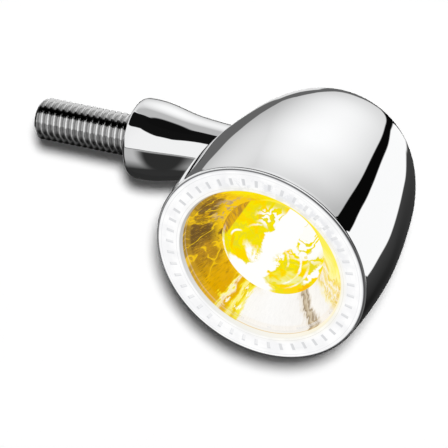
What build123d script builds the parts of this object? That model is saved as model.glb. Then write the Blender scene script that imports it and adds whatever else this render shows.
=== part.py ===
from build123d import *
import math
import os

os.makedirs("parts", exist_ok=True)

# ---------------------------------------------------------------------------
# Bullet turn signal indicator on a hollow M8 stud.
# Millimetres, +Z up. The origin is the centre of the arm's mounting shoulder.
# The stud runs along -X, the arm along +X into the side of the lamp head.
# The lamp head is a body of revolution about a line parallel to Y through
# (head_x, *, 0). Its lens faces -Y. Depths are counted from the front plane
# towards the rear, +Y. Outlines of the head are tables of (radius, depth).
# ---------------------------------------------------------------------------

# --- overall layout
head_x = 37.2            # head axis, from the mounting shoulder
stem_depth = 29.2        # stem axis, behind the front plane
front_y = -stem_depth    # y of the front plane
fit_gap = 0.05           # radial gap of a piece in its seat

# --- stepped seats inside the housing shell
ring_seat_r = 19.45      # light ring
ring_seat_depth = 4.4
flange_seat_r = 18.55    # reflector flange
flange_seat_depth = 8.0
sink_seat_r = 17.6       # heat sink
sink_seat_depth = 17.0
rear_bore_r = 16.4
rear_bore_depth = 22.0
boss_x = 24.0            # flat of the arm boss inside the shell
port_r = 5.05            # hole for the arm

# --- arm
arm_bore_r = 4.0
spigot_r = port_r - fit_gap
spigot_end = 27.0
washer_t = 0.5

# --- stud
stud_length = 20.0
stud_tip = -stud_length
stud_bore_r = 2.25

# --- light ring, lens and boards
ring_outer_r = ring_seat_r - fit_gap
ring_inner_r = 14.90
ring_thickness = 3.5
prism_r = 17.1           # circle of the prism notches and their emitters
lens_back = 1.75
position_front = 6.0     # annular board behind the light ring
led_board_front = 13.4
led_board_t = 1.2
sink_front = led_board_front + led_board_t
driver_front = 20.6
driver_t = 1.0
driver_back = driver_front + driver_t

head_axis = Axis((head_x, front_y, 0), (0, 1, 0))
section = Plane(origin=(head_x, front_y, 0), x_dir=(1, 0, 0), z_dir=(0, 0, 1))


def disc_plane(depth):
    """Plane across the head axis at a depth; x is +X, y is -Z, extrusions run to the rear."""
    return Plane(origin=(head_x, front_y + depth, 0), x_dir=(1, 0, 0), z_dir=(0, 1, 0))


def across(x):
    """Plane across the stud axis; extrusions run towards the head."""
    return Plane(origin=(x, 0, 0), x_dir=(0, 1, 0), z_dir=(1, 0, 0))


def ring_points(radius, angles):
    """Points on a circle, at angles in degrees."""
    return [(radius * math.cos(math.radians(a)), radius * math.sin(math.radians(a)))
            for a in angles]


# --- hole places shared by the boards, in disc_plane coordinates
led_screw_points = ring_points(9.6, (30, 150, 270))
driver_screw_points = ring_points(12.6, (0, 120, 240))
link_r = 10.6
link_points = [(-1.27, link_r), (1.27, link_r)]
ring_link_points = ring_points(15.7, (-94, -78))
screw_hole_r = 1.05
pin_hole_r = 0.36
screw_head_r = 1.8
screw_head_t = 1.2


def save(piece, name):
    piece.part.label = name
    export_step(piece.part, f"parts/{name}.step")


def save_tubes(name, plane, outer_r, inner_r, length, points=((0, 0),)):
    """Plain tubes or washers, one at each point."""
    with BuildPart() as tubes:
        with BuildSketch(plane):
            with Locations(*points):
                Circle(outer_r)
                Circle(inner_r, mode=Mode.SUBTRACT)
        extrude(amount=length)
    save(tubes, name)


def save_board(name, front, thickness, radius, holes):
    """Round board; holes lists (hole radius, points)."""
    with BuildPart() as board:
        with BuildSketch(disc_plane(front)):
            Circle(radius)
            for hole_r, points in holes:
                with Locations(*points):
                    Circle(hole_r, mode=Mode.SUBTRACT)
        extrude(amount=thickness)
    save(board, name)


def save_screws(name, points, head_start, shank_start, shank_end, socket_start, socket_length):
    """Screws with round heads and hexagon sockets; starts and ends are depths."""
    with BuildPart() as screws:
        with BuildSketch(disc_plane(head_start)):
            with Locations(*points):
                Circle(screw_head_r)
        extrude(amount=screw_head_t)
        with BuildSketch(disc_plane(shank_start)):
            with Locations(*points):
                Circle(0.97)
        extrude(amount=shank_end - shank_start)
        with BuildSketch(disc_plane(socket_start)):
            with Locations(*points):
                RegularPolygon(radius=0.75, side_count=6)
        extrude(amount=socket_length, mode=Mode.SUBTRACT)
    save(screws, name)


def save_pins(name, board_front, points):
    """Pins from just ahead of a board to just behind the driver board."""
    start = board_front - 0.4
    with BuildPart() as pins:
        with BuildSketch(disc_plane(start)):
            with Locations(*points):
                Circle(0.32)
        extrude(amount=driver_back + 0.5 - start)
    save(pins, name)


def save_blocks(name, points, width, height, thickness):
    """Rectangular blocks on the rear of the driver board."""
    with BuildPart() as blocks:
        with BuildSketch(disc_plane(driver_back)):
            with Locations(*points):
                Rectangle(width, height)
        extrude(amount=thickness)
    save(blocks, name)


# ---------------------------------------------------------------------------
# Housing: outer form, cavity, then the shell
# ---------------------------------------------------------------------------
lip_r = 19.62
lip_depth = 0.3
head_outer = [           # outer skin behind the lip
    (19.74, 0.45), (20.02, 4.0), (20.12, 8.0), (20.02, 12.5), (19.42, 18.0),
    (18.32, 24.0), (16.78, 30.0), (15.60, 33.0), (14.02, 36.0), (12.50, 38.0),
    (10.35, 40.0), (7.45, 42.0), (4.70, 43.3), (0.0, 44.2),
]
rear_cavity = [          # inner skin behind the rear bore
    (rear_bore_r, rear_bore_depth), (16.05, 26.0), (15.10, 30.0), (13.90, 33.0),
    (12.15, 36.0), (10.10, 38.0), (7.10, 40.2), (0, 42.3),
]
wall_middle = [          # between the two skins
    (18.10, 18.0), (17.25, 24.0), (15.95, 30.0), (14.75, 33.0), (13.10, 36.0),
    (11.35, 38.0), (8.90, 40.0), (5.60, 41.8), (0.0, 43.3),
]
cavity_start = -1.0      # ahead of the front plane, so the cut is open
boss_start = 16.0        # x
boss_r = 6.95
spot_face_r = 6.8
spot_face_length = 3.0
port_start = 12.0        # x
port_length = 14.0

with BuildPart() as head_form:
    with BuildSketch(section):
        with BuildLine():
            Polyline((0, lip_depth), (lip_r, lip_depth), head_outer[0])
            skin = Spline(*head_outer, tangents=[(0.10, 1.0), (-1.0, 0.0)])
            Line(skin @ 1, (0, lip_depth))
        make_face()
    revolve(axis=head_axis)

with BuildPart() as cavity:
    with BuildSketch(section):
        with BuildLine():
            Polyline(
                (0, cavity_start), (ring_seat_r, cavity_start), (ring_seat_r, ring_seat_depth),
                (flange_seat_r, ring_seat_depth), (flange_seat_r, flange_seat_depth),
                (sink_seat_r, flange_seat_depth), (sink_seat_r, sink_seat_depth),
                (rear_bore_r, sink_seat_depth), (rear_bore_r, rear_bore_depth),
            )
            back = Spline(*rear_cavity, tangents=[(0.0, 1.0), (-1.0, 0.0)])
            Line(back @ 1, (0, cavity_start))
        make_face()
    revolve(axis=head_axis)

# form midway through the wall, which bounds the arm boss
with BuildPart() as mid_form:
    with BuildSketch(section):
        with BuildLine():
            mid = Spline(*wall_middle, tangents=[(-0.1, 1.0), (-1.0, 0.0)])
            Polyline(mid @ 1, (0, wall_middle[0][1]), mid @ 0)
        make_face()
    revolve(axis=head_axis)

with BuildPart() as arm_boss:
    with BuildSketch(across(boss_start)):
        Circle(boss_r)
    extrude(amount=boss_x - boss_start)
    add(mid_form.part, mode=Mode.INTERSECT)

with BuildPart() as housing_shell:
    add(head_form.part)
    add(cavity.part, mode=Mode.SUBTRACT)
    add(arm_boss.part)
    # spot face for the arm nut, then the port for the arm
    with BuildSketch(across(boss_x)):
        Circle(spot_face_r)
    extrude(amount=spot_face_length, mode=Mode.SUBTRACT)
    with BuildSketch(across(port_start)):
        Circle(port_r)
    extrude(amount=port_length, mode=Mode.SUBTRACT)
save(housing_shell, "housing_shell")

# ---------------------------------------------------------------------------
# Arm: flared at the shoulder, necked towards the head, spigot into the port
# ---------------------------------------------------------------------------
arm_profile = [          # (distance from the shoulder, radius)
    (1.25, 7.50), (5.0, 7.22), (10.0, 6.18), (15.0, 5.62), (20.0, 5.30), (26.0, 5.20),
]
arm_face_r = 6.75        # flat of the mounting shoulder
arm_edge_middle = (0.33, 7.24)
spigot_start = 16.0

with BuildPart() as stem_arm:
    with BuildSketch(Plane.XY):
        with BuildLine():
            Line((0, 0), (0, arm_face_r))
            Spline((0, arm_face_r), arm_edge_middle, arm_profile[0],
                   tangents=[(0.12, 1.0), (1.0, 0.04)])
            flank = Spline(*arm_profile, tangents=[(1.0, 0.02), (1.0, 0.0)])
            Polyline(flank @ 1, (arm_profile[-1][0], 0), (0, 0))
        make_face()
    revolve(axis=Axis.X)
    # the arm's end takes the shape of the head's skin
    add(head_form.part, mode=Mode.SUBTRACT)
    with BuildSketch(across(spigot_start)):
        Circle(spigot_r)
    extrude(amount=spigot_end - spigot_start)
    with BuildSketch(across(-1.0)):
        Circle(arm_bore_r)
    extrude(amount=spigot_end + 2.0, mode=Mode.SUBTRACT)
save(stem_arm, "stem_arm")

# Fasteners that hold the arm in the shell
save_tubes("stem_washer", across(boss_x), outer_r=6.6, inner_r=5.1, length=washer_t)

nut_corner_r = 6.55
nut_t = 2.0
with BuildPart() as stem_nut:
    with BuildSketch(across(boss_x + washer_t)):
        RegularPolygon(radius=nut_corner_r, side_count=6)
        Circle(spigot_r + 0.02, mode=Mode.SUBTRACT)
    extrude(amount=nut_t)
save(stem_nut, "stem_nut")

save_tubes("friction_washer", across(spigot_end), outer_r=5.2, inner_r=4.05, length=washer_t)

# ---------------------------------------------------------------------------
# Stud: a hollow M8 x 1.25 bolt. The thread is one cross-section turned along
# the axis.
# ---------------------------------------------------------------------------
thread_major_r = 3.94
thread_minor_r = 3.24
thread_pitch = 1.25
crest_half = 0.11        # half width of the crest, along the axis
root_half = 0.50         # half width from crest centre to the root
flank_steps = 6
stud_land = 1.0          # plain land between thread and shoulder
tip_cut = [              # (x from the stud's tip, radius) cut away as a chamfer
    (-0.1, 3.05), (-0.1, 4.4), (0.92, 4.4), (0.92, 4.07),
]
neck_r = 3.7             # between the shoulder and the O-ring groove
groove_start, groove_end = 0.5, 2.1
groove_r = 3.05
journal_r = arm_bore_r - fit_gap
stud_head_start = spigot_end + washer_t + 0.03
stud_head_end = 30.0
stud_head_af = 9.2       # across flats


def thread_section():
    """Closed outline across the axis: crest arc, two flank spirals, root arc."""
    def at(radius, along):
        turn = 2 * math.pi * along / thread_pitch
        return (0, radius * math.cos(turn), radius * math.sin(turn))

    def flank_curve(side):
        return Spline(*[at(thread_major_r - drop * i, side * (crest_half + run * i))
                        for i in range(flank_steps + 1)])

    drop = (thread_major_r - thread_minor_r) / flank_steps
    run = (root_half - crest_half) / flank_steps
    crest = ThreePointArc(at(thread_major_r, -crest_half), at(thread_major_r, 0),
                          at(thread_major_r, crest_half))
    root = ThreePointArc(at(thread_minor_r, root_half), at(thread_minor_r, thread_pitch / 2),
                         at(thread_minor_r, thread_pitch - root_half))
    return Wire([crest, flank_curve(1), root, flank_curve(-1)])


def thread(length):
    return Solid.extrude_linear_with_rotation(
        thread_section(), (0, 0, 0), (length, 0, 0), length / thread_pitch * 360)


tip_length = thread_pitch
tip_thread = thread(tip_length)
body_thread = thread(stud_length - stud_land - tip_length)

with BuildPart() as threaded_stud:
    # the first turn is chamfered before the rest of the thread joins it
    with Locations((stud_tip, 0, 0)):
        add(tip_thread)
    with BuildSketch(Plane.XY):
        with BuildLine():
            Polyline(*[(stud_tip + x, radius) for x, radius in tip_cut], close=True)
        make_face()
    revolve(axis=Axis.X, mode=Mode.SUBTRACT)
    with Locations((stud_tip + tip_length, 0, 0)):
        add(body_thread)
    # plain land, ring groove, journal and hexagon head
    with BuildSketch(Plane.XY):
        with BuildLine():
            Polyline(
                (-stud_land, 0), (-stud_land, thread_major_r), (0, thread_major_r),
                (0, neck_r), (groove_start, neck_r), (groove_start, groove_r),
                (groove_end, groove_r), (groove_end, journal_r),
                (stud_head_start, journal_r), (stud_head_start, 0), close=True,
            )
        make_face()
    revolve(axis=Axis.X)
    with BuildSketch(across(stud_head_start)):
        RegularPolygon(radius=stud_head_af / 2, side_count=6, major_radius=False)
    extrude(amount=stud_head_end - stud_head_start)
    with BuildSketch(across(stud_tip - 1)):
        Circle(stud_bore_r)
    extrude(amount=stud_length + stud_head_end + 2, mode=Mode.SUBTRACT)
save(threaded_stud, "threaded_stud")

# O-ring of elliptical section in the groove
o_ring_outer_r = 3.98
o_ring_half_width = 0.62
with BuildPart() as stud_o_ring:
    with BuildSketch(Plane.XY):
        with Locations(((groove_start + groove_end) / 2, (groove_r + o_ring_outer_r) / 2)):
            Ellipse(o_ring_half_width, (o_ring_outer_r - groove_r) / 2)
    revolve(axis=Axis.X)
save(stud_o_ring, "stud_o_ring")

save_tubes("stud_grommet", across(stud_tip + 0.4),
           outer_r=stud_bore_r, inner_r=2.0, length=4.0)

# ---------------------------------------------------------------------------
# Light ring, its gasket and the front lens
# ---------------------------------------------------------------------------
prism_count = 45
prism_length = 1.2       # radial
prism_width = 0.55
prism_depth = 0.25
prism_overrun = 0.1      # cut starts this far ahead of the ring

with BuildPart() as light_ring:
    with BuildSketch(section):
        with BuildLine():
            Polyline(
                (ring_inner_r, 0.75), (ring_inner_r + 0.45, 0.0), (ring_outer_r - 0.45, 0.0),
                (ring_outer_r - 0.12, 0.14), (ring_outer_r, 0.5),
                (ring_outer_r, ring_thickness), (ring_inner_r, ring_thickness), close=True,
            )
        make_face()
    revolve(axis=head_axis)
    # short radial prism notches in the front face
    with BuildSketch(disc_plane(-prism_overrun)):
        with PolarLocations(prism_r, prism_count):
            Rectangle(prism_length, prism_width)
    extrude(amount=prism_overrun + prism_depth, mode=Mode.SUBTRACT)
save(light_ring, "light_ring")

save_tubes("ring_gasket", disc_plane(ring_thickness),
           outer_r=ring_outer_r, inner_r=18.6, length=ring_seat_depth - ring_thickness)

# Lens with a shallow crown
lens_r = ring_inner_r - fit_gap
lens_crown = 0.05        # depth at the centre
lens_front = 0.35        # depth at the edge
arc_middle = 0.55        # share of the radius where the crown's middle point lies
with BuildPart() as front_lens:
    with BuildSketch(section):
        with BuildLine():
            crown = ThreePointArc(
                (0, lens_crown),
                (lens_r * arc_middle, lens_crown + (lens_front - lens_crown) * arc_middle**2),
                (lens_r, lens_front))
            Polyline(crown @ 1, (lens_r, lens_back), (0, lens_back), (0, lens_crown))
        make_face()
    revolve(axis=head_axis)
save(front_lens, "front_lens")

# ---------------------------------------------------------------------------
# Reflector: bowl with a flange that seats in the shell
# ---------------------------------------------------------------------------
bowl_inner = [
    (14.30, lens_back), (13.05, 4.2), (11.60, 6.8), (9.90, 9.0), (7.60, 11.0), (3.60, 12.7),
]
bowl_outer = [(4.30, 13.38), (8.20, 11.75), (10.55, 9.60), (12.25, 7.4)]
bowl_hole_corner = (3.60, 13.38)   # rear edge of the central opening
bowl_rim_r = 14.82
flange_r = flange_seat_r - fit_gap
flange_front = 7.0

with BuildPart() as reflector_bowl:
    with BuildSketch(section):
        with BuildLine():
            inner = Spline(*bowl_inner)
            Line(inner @ 1, bowl_hole_corner)
            Line(bowl_hole_corner, bowl_outer[0])
            outer = Spline(*bowl_outer)
            Polyline(
                outer @ 1, (bowl_outer[-1][0], flange_seat_depth), (flange_r, flange_seat_depth),
                (flange_r, flange_front), (bowl_rim_r, flange_front), (bowl_rim_r, lens_back),
                inner @ 0,
            )
        make_face()
    revolve(axis=head_axis)
    # openings for the pins to the ring board
    with BuildSketch(disc_plane(flange_front - 0.5)):
        with Locations(*ring_link_points):
            Circle(0.5)
    extrude(amount=2.5, mode=Mode.SUBTRACT)
save(reflector_bowl, "reflector_bowl")

# Centre optic: domed front, tapering back to a pocket over the emitter
optic_dome = [(0, 2.25), (5.2, 3.02), (9.15, 4.9)]
optic_rim = [(9.5, 5.15), (9.5, 6.0), (9.25, 6.35)]
optic_taper = [(9.25, 6.35), (8.10, 8.4), (6.0, 10.6), (3.3, 12.3)]
optic_foot = [(3.3, 12.55), (2.1, 12.55), (2.1, 11.35)]
optic_pocket = [(2.1, 11.35), (1.2, 10.75), (0, 10.55)]

with BuildPart() as centre_optic:
    with BuildSketch(section):
        with BuildLine():
            dome = Spline(*optic_dome, tangents=[(1, 0), (0.8, 0.6)])
            Polyline(dome @ 1, *optic_rim)
            taper = Spline(*optic_taper)
            Polyline(taper @ 1, *optic_foot)
            pocket = Spline(*optic_pocket, tangents=[(-0.7, -0.7), (-1, 0)])
            Line(pocket @ 1, optic_dome[0])
        make_face()
    revolve(axis=head_axis)
save(centre_optic, "centre_optic")

# ---------------------------------------------------------------------------
# Turn light: emitter, its board, screws and heat sink
# ---------------------------------------------------------------------------
emitter_side = 3.4
emitter_t = 0.7
emitter_front = led_board_front - emitter_t
bulb_r = 1.4
with BuildPart() as amber_led:
    with BuildSketch(disc_plane(emitter_front)):
        Rectangle(emitter_side, emitter_side)
    extrude(amount=emitter_t)
    with BuildSketch(section):
        with BuildLine():
            Line((0, emitter_front), (bulb_r, emitter_front))
            bulb = Spline((bulb_r, emitter_front), (1.0, emitter_front - 0.99),
                          (0, emitter_front - bulb_r), tangents=[(0, -1), (-1, 0)])
            Line(bulb @ 1, (0, emitter_front))
        make_face()
    revolve(axis=head_axis)
save(amber_led, "amber_led")

save_board("led_board", led_board_front, led_board_t, radius=12.0,
           holes=[(screw_hole_r, led_screw_points), (pin_hole_r, link_points)])

led_head_start = led_board_front - screw_head_t
save_screws("led_screws", led_screw_points, head_start=led_head_start,
            shank_start=led_board_front, shank_end=led_board_front + 3.2,
            socket_start=led_head_start, socket_length=0.7)

fin_r = 15.9
fin_end = 20.0
fin_pitch = 3.2
fin_gap = 2.0
fin_gap_count = 10
with BuildPart() as heat_sink:
    with BuildSketch(disc_plane(sink_front)):
        Circle(sink_seat_r - fit_gap)
    extrude(amount=sink_seat_depth - sink_front)
    # cooling fins
    with BuildSketch(disc_plane(sink_seat_depth)):
        Circle(fin_r)
        with GridLocations(fin_pitch, 1, fin_gap_count, 1):
            Rectangle(fin_gap, 40, mode=Mode.SUBTRACT)
    extrude(amount=fin_end - sink_seat_depth)
    # room for the board spacers
    with BuildSketch(disc_plane(sink_seat_depth)):
        with Locations(*driver_screw_points):
            Circle(2.4)
    extrude(amount=4.0, mode=Mode.SUBTRACT)
    # screw holes, then a slot and holes for the pins
    with BuildSketch(disc_plane(sink_front - 0.5)):
        with Locations(*driver_screw_points, *led_screw_points):
            Circle(0.98)
        with Locations((0, link_r)):
            SlotOverall(5.0, 2.0)
        with Locations(*ring_link_points):
            Circle(0.8)
    extrude(amount=6.5, mode=Mode.SUBTRACT)
save(heat_sink, "heat_sink")

# ---------------------------------------------------------------------------
# Position light: annular board and emitters behind the light ring
# ---------------------------------------------------------------------------
save_board("position_board", position_front, thickness=1.0, radius=18.4,
           holes=[(15.2, [(0, 0)]), (pin_hole_r, ring_link_points)])

position_led_count = 12
position_led_t = 0.8
with BuildPart() as position_leds:
    with BuildSketch(disc_plane(position_front - position_led_t)):
        with PolarLocations(prism_r, position_led_count, start_angle=15):
            Rectangle(1.0, 2.0)
    extrude(amount=position_led_t)
save(position_leds, "position_leds")

# ---------------------------------------------------------------------------
# Driver board, its mountings and its parts
# ---------------------------------------------------------------------------
save_board("driver_board", driver_front, driver_t, radius=16.2,
           holes=[(screw_hole_r, driver_screw_points),
                  (pin_hole_r, link_points + ring_link_points)])

save_tubes("board_spacers", disc_plane(sink_seat_depth), outer_r=screw_head_r,
           inner_r=screw_hole_r, length=driver_front - sink_seat_depth,
           points=driver_screw_points)

save_screws("driver_screws", driver_screw_points, head_start=driver_back,
            shank_start=15.2, shank_end=driver_back,
            socket_start=driver_back + 0.5, socket_length=0.8)

save_pins("link_pins", led_board_front, link_points)
save_pins("ring_link_pins", position_front, ring_link_points)

chip_centre = (8.6, 4.6)
chip_width, chip_height, chip_t = 4.9, 3.9, 1.45
chip_standoff = 0.15
leg_pitch = 1.27
leg_row_gap = 4.9        # between the centres of the two rows
leg_width, leg_length, leg_t = 0.42, 1.2, 0.55
with BuildPart() as driver_chip:
    with BuildSketch(disc_plane(driver_back + chip_standoff)):
        with Locations(chip_centre):
            Rectangle(chip_width, chip_height)
    extrude(amount=chip_t)
    # two rows of four legs
    with BuildSketch(disc_plane(driver_back)):
        with Locations(chip_centre):
            with GridLocations(leg_pitch, leg_row_gap, 4, 2):
                Rectangle(leg_width, leg_length)
    extrude(amount=leg_t)
save(driver_chip, "driver_chip")

inductor_side = 6.0
with BuildPart() as filter_inductor:
    with BuildSketch(disc_plane(driver_back)):
        with Locations((8.4, -5.0)):
            RectangleRounded(inductor_side, inductor_side, radius=1.2)
    extrude(amount=2.8)
save(filter_inductor, "filter_inductor")

capacitor_r = 2.1
capacitor_length = 4.4
with BuildPart() as capacitors:
    with BuildSketch(disc_plane(driver_back)):
        with Locations((6.0, 10.8), (6.0, -11.0)):
            Circle(capacitor_r)
    extrude(amount=capacitor_length)
    # rear rims
    chamfer(capacitors.faces().sort_by(Axis.Y)[-2:].edges(), length=0.3)
save(capacitors, "capacitors")

save_blocks("chip_resistors", [(1.6, 6.0), (1.6, -6.0), (-3.6, 7.4), (-3.6, -7.4)],
            width=2.0, height=1.25, thickness=0.6)
save_blocks("protection_diodes", [(3.2, 2.4), (3.2, -0.9)],
            width=3.6, height=1.8, thickness=1.2)

# ---------------------------------------------------------------------------
# Leads through the hollow stud to the driver board
# ---------------------------------------------------------------------------
sheath_start = stud_tip + 0.6
sheath_end = 30.9
save_tubes("lead_sheath", across(sheath_start),
           outer_r=1.9, inner_r=1.42, length=sheath_end - sheath_start)

lead_r = 0.5
lead_ring_r = 0.8        # circle of the leads about the stud axis
lead_start_x = stud_tip + 0.5
bend_x = 31.0            # the straight run ends here
leads = [                # (name, angle from +Z towards +Y, end x, end z)
    ("ground_lead", 210, 34.2, -3.0),
    ("turn_lead", 90, 36.0, 0.0),
    ("position_lead", 330, 34.2, 3.0),
]
for lead_name, angle, end_x, end_z in leads:
    lead_y = lead_ring_r * math.sin(math.radians(angle))
    lead_z = lead_ring_r * math.cos(math.radians(angle))
    with BuildPart() as lead:
        with BuildLine():
            run_in = Line((lead_start_x, lead_y, lead_z), (bend_x, lead_y, lead_z))
            Spline((bend_x, lead_y, lead_z), (end_x, front_y + driver_back, end_z),
                   tangents=[(1, 0, 0), (0, -1, 0)])
        with BuildSketch(Plane(origin=run_in @ 0, x_dir=(0, 1, 0), z_dir=(1, 0, 0))):
            Circle(lead_r)
        sweep()
    save(lead, lead_name)
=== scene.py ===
"""Chrome vehicle lamp: amber turn light in the middle, lit white position ring around it.

The round head turns about an axis along Y and faces -Y. The arm and the threaded stud
lie on the X axis and meet the head on its -X side. +Z is up. Sizes are in millimetres
unless a comment says otherwise; they become metres where points are made.
"""
import bpy, bmesh, math
import numpy as np
from mathutils import Vector, Matrix


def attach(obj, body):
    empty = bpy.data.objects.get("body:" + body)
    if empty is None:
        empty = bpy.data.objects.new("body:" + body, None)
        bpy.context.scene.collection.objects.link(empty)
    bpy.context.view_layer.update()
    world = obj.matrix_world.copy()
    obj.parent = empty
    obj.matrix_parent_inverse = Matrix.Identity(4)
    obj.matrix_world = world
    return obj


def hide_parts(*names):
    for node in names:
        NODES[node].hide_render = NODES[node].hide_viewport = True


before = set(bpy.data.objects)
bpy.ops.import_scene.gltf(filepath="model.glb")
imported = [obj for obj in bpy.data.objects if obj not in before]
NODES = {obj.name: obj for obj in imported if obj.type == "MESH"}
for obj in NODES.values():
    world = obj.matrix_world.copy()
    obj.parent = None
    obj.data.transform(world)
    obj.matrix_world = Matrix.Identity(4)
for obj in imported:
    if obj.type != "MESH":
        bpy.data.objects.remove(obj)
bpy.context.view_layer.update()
MM = 0.001

HEAD_X = 37.2        # the head's axis
FRONT_Y = -29.2      # the head's front plane; depth is measured from here towards +Y

# sizes shared by parts of the head
RIM_RADIUS = 19.45   # inside of the shell's lip
RING_OUTER, RING_INNER = 19.40, 14.90
WINDOW_RADIUS = 14.85
WINDOW_BACK = 1.75   # depth where the window ends and the bowl begins


# ================================================================ node helper
def srgb(*levels):
    """Linear colour from 0..255 sRGB levels."""
    return tuple((c / 255 / 12.92) if c / 255 <= 0.04045 else ((c / 255 + 0.055) / 1.055) ** 2.4
                 for c in levels)


class Nodes:
    """Short calls that build the node tree of a material or world."""

    def __init__(self, owner, output="ShaderNodeOutputMaterial"):
        owner.use_nodes = True
        self.owner = owner
        self.tree = owner.node_tree
        self.tree.nodes.clear()
        self.output = self.node(output)

    def feed(self, socket, value):
        """Link another node's socket, or set a plain value."""
        if isinstance(value, bpy.types.NodeSocket):
            self.tree.links.new(value, socket)
            return
        if socket.type == "RGBA" and len(value) == 3:
            value = (*value, 1.0)
        socket.default_value = value

    def node(self, kind, **settings):
        """Capitalised settings are input sockets (_ for a space), the others properties."""
        node = self.tree.nodes.new(kind)
        for key, value in settings.items():
            if key[0].isupper():
                self.feed(node.inputs[key.replace("_", " ")], value)
            else:
                setattr(node, key, value)
        return node

    def first(self, kind, **settings):
        return self.node(kind, **settings).outputs[0]

    def filled(self, kind, *values, **settings):
        """A node whose inputs are fed in order."""
        node = self.node(kind, **settings)
        for socket, value in zip(node.inputs, values):
            self.feed(socket, value)
        return node.outputs[0]

    # arithmetic
    def math(self, operation, *values, clamp=False):
        return self.filled("ShaderNodeMath", *values, operation=operation, use_clamp=clamp)

    def add(self, a, b):
        return self.math("ADD", a, b)

    def sub(self, a, b):
        return self.math("SUBTRACT", a, b)

    def mul(self, a, b):
        return self.math("MULTIPLY", a, b)

    def div(self, a, b):
        return self.math("DIVIDE", a, b)

    def min(self, a, b):
        return self.math("MINIMUM", a, b)

    def max(self, a, b):
        return self.math("MAXIMUM", a, b)

    def mul_add(self, value, factor, offset, clamp=False):
        return self.math("MULTIPLY_ADD", value, factor, offset, clamp=clamp)

    def away(self, value, centre):
        """Distance of a value from a centre."""
        return self.math("ABSOLUTE", self.sub(value, centre))

    def length(self, x, y):
        return self.math("SQRT", self.add(self.mul(x, x), self.mul(y, y)))

    def degrees(self, y, x):
        return self.math("DEGREES", self.math("ARCTAN2", y, x))

    def wrap(self, angle, shift):
        """Angle plus shift, kept in 0..360."""
        return self.math("MODULO", self.add(angle, shift), 360.0)

    # masks
    def linear(self, value, off, on):
        """0 at off, 1 at on (either order), straight between."""
        return self.mul_add(value, 1.0 / (on - off), -off / (on - off), clamp=True)

    def ease(self, value):
        return self.mul(self.mul(value, value), self.mul_add(value, -2.0, 3.0))

    def smooth(self, value, off, on):
        """0 at off, 1 at on (either order), smooth between."""
        return self.ease(self.linear(value, off, on))

    def band(self, value, rise, fall):
        """Two masks: one comes on over the rise range, the other goes off over the fall."""
        return self.smooth(value, *rise), self.smooth(value, off=fall[1], on=fall[0])

    def all(self, *masks):
        product = masks[0]
        for mask in masks[1:]:
            product = self.mul(product, mask)
        return product

    def invert(self, mask):
        return self.math("SUBTRACT", 1.0, mask, clamp=True)

    def ellipse(self, x, y, at, radii, turn=0.0, soft=0.35):
        """Soft-edged ellipse, turned in degrees; soft is a share of its size."""
        cos, sin = math.cos(math.radians(turn)), math.sin(math.radians(turn))
        x = self.sub(x, at[0])
        y = self.sub(y, at[1])
        along = self.mul(self.add(self.mul(x, cos), self.mul(y, sin)), 1.0 / radii[0])
        over = self.mul(self.sub(self.mul(y, cos), self.mul(x, sin)), 1.0 / radii[1])
        return self.smooth(self.length(along, over), off=1.0 + soft, on=1.0 - soft)

    # vectors and textures
    def coords(self, output="Object"):
        return self.node("ShaderNodeTexCoord").outputs[output]

    def split(self, vector):
        return self.node("ShaderNodeSeparateXYZ", Vector=vector).outputs

    def vector(self, x, y, z):
        return self.filled("ShaderNodeCombineXYZ", x, y, z)

    def noise(self, vector, scale, detail=3.0, rough=0.5):
        return self.first("ShaderNodeTexNoise", Vector=vector, Scale=scale, Detail=detail,
                          Roughness=rough)

    def bump(self, height, strength, distance):
        """Distance in mm."""
        return self.first("ShaderNodeBump", Height=height, Strength=strength,
                          Distance=distance * MM)

    # colours and shaders
    def mix(self, factor, a, b):
        node = self.node("ShaderNodeMix", data_type="RGBA")
        for i, value in ((0, factor), (6, a), (7, b)):
            self.feed(node.inputs[i], value)
        return node.outputs[2]

    def paint(self, under, color, mask, amount=None):
        """Lay a colour over another where the mask is 1, at up to the given amount."""
        return self.mix(mask if amount is None else self.mul(mask, amount), under, color)

    def angle_ramp(self, turns, stops):
        """Ramp over one turn; stops are (degrees, grey level) or (degrees, sRGB r, g, b)."""
        node = self.node("ShaderNodeValToRGB")
        elements = node.color_ramp.elements
        while len(elements) > 1:
            elements.remove(elements[-1])
        for i, (degrees, *shade) in enumerate(stops):
            color = srgb(*shade) if len(shade) == 3 else shade * 3
            if i:
                element = elements.new(degrees / 360)
            else:
                element = elements[0]
                element.position = degrees / 360
            element.color = (*color, 1.0)
        self.feed(node.inputs[0], turns)
        return node.outputs[0]

    def mix_shader(self, factor, a, b):
        return self.filled("ShaderNodeMixShader", factor, a, b)

    def done(self, shader):
        self.feed(self.output.inputs[0], shader)
        return self.owner


def new_material(name):
    return Nodes(bpy.data.materials.new(name))


# ================================================================ plain materials
def metal(name, color, rough, tint, grain_scale=900.0, rough_spread=0.10, bump=0.0,
          stretch=(1, 1, 1)):
    """Metal with varied roughness; tint darkens it in patches, bump (mm) adds a fine grain."""
    mat = new_material(name)
    place = mat.first("ShaderNodeMapping", Vector=mat.coords(), Scale=stretch)
    grain = mat.noise(place, grain_scale, detail=4.0)
    dark = tuple(c * (1 - tint) for c in color)
    shader = mat.node("ShaderNodeBsdfPrincipled", Metallic=1.0,
                      Base_Color=mat.mix(grain, dark, color),
                      Roughness=mat.mul_add(grain, rough_spread, rough))
    if bump:
        fine = mat.noise(place, scale=2500.0)
        mat.feed(shader.inputs["Normal"], mat.bump(fine, strength=1.0, distance=bump))
    return mat.done(shader.outputs[0])


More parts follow.
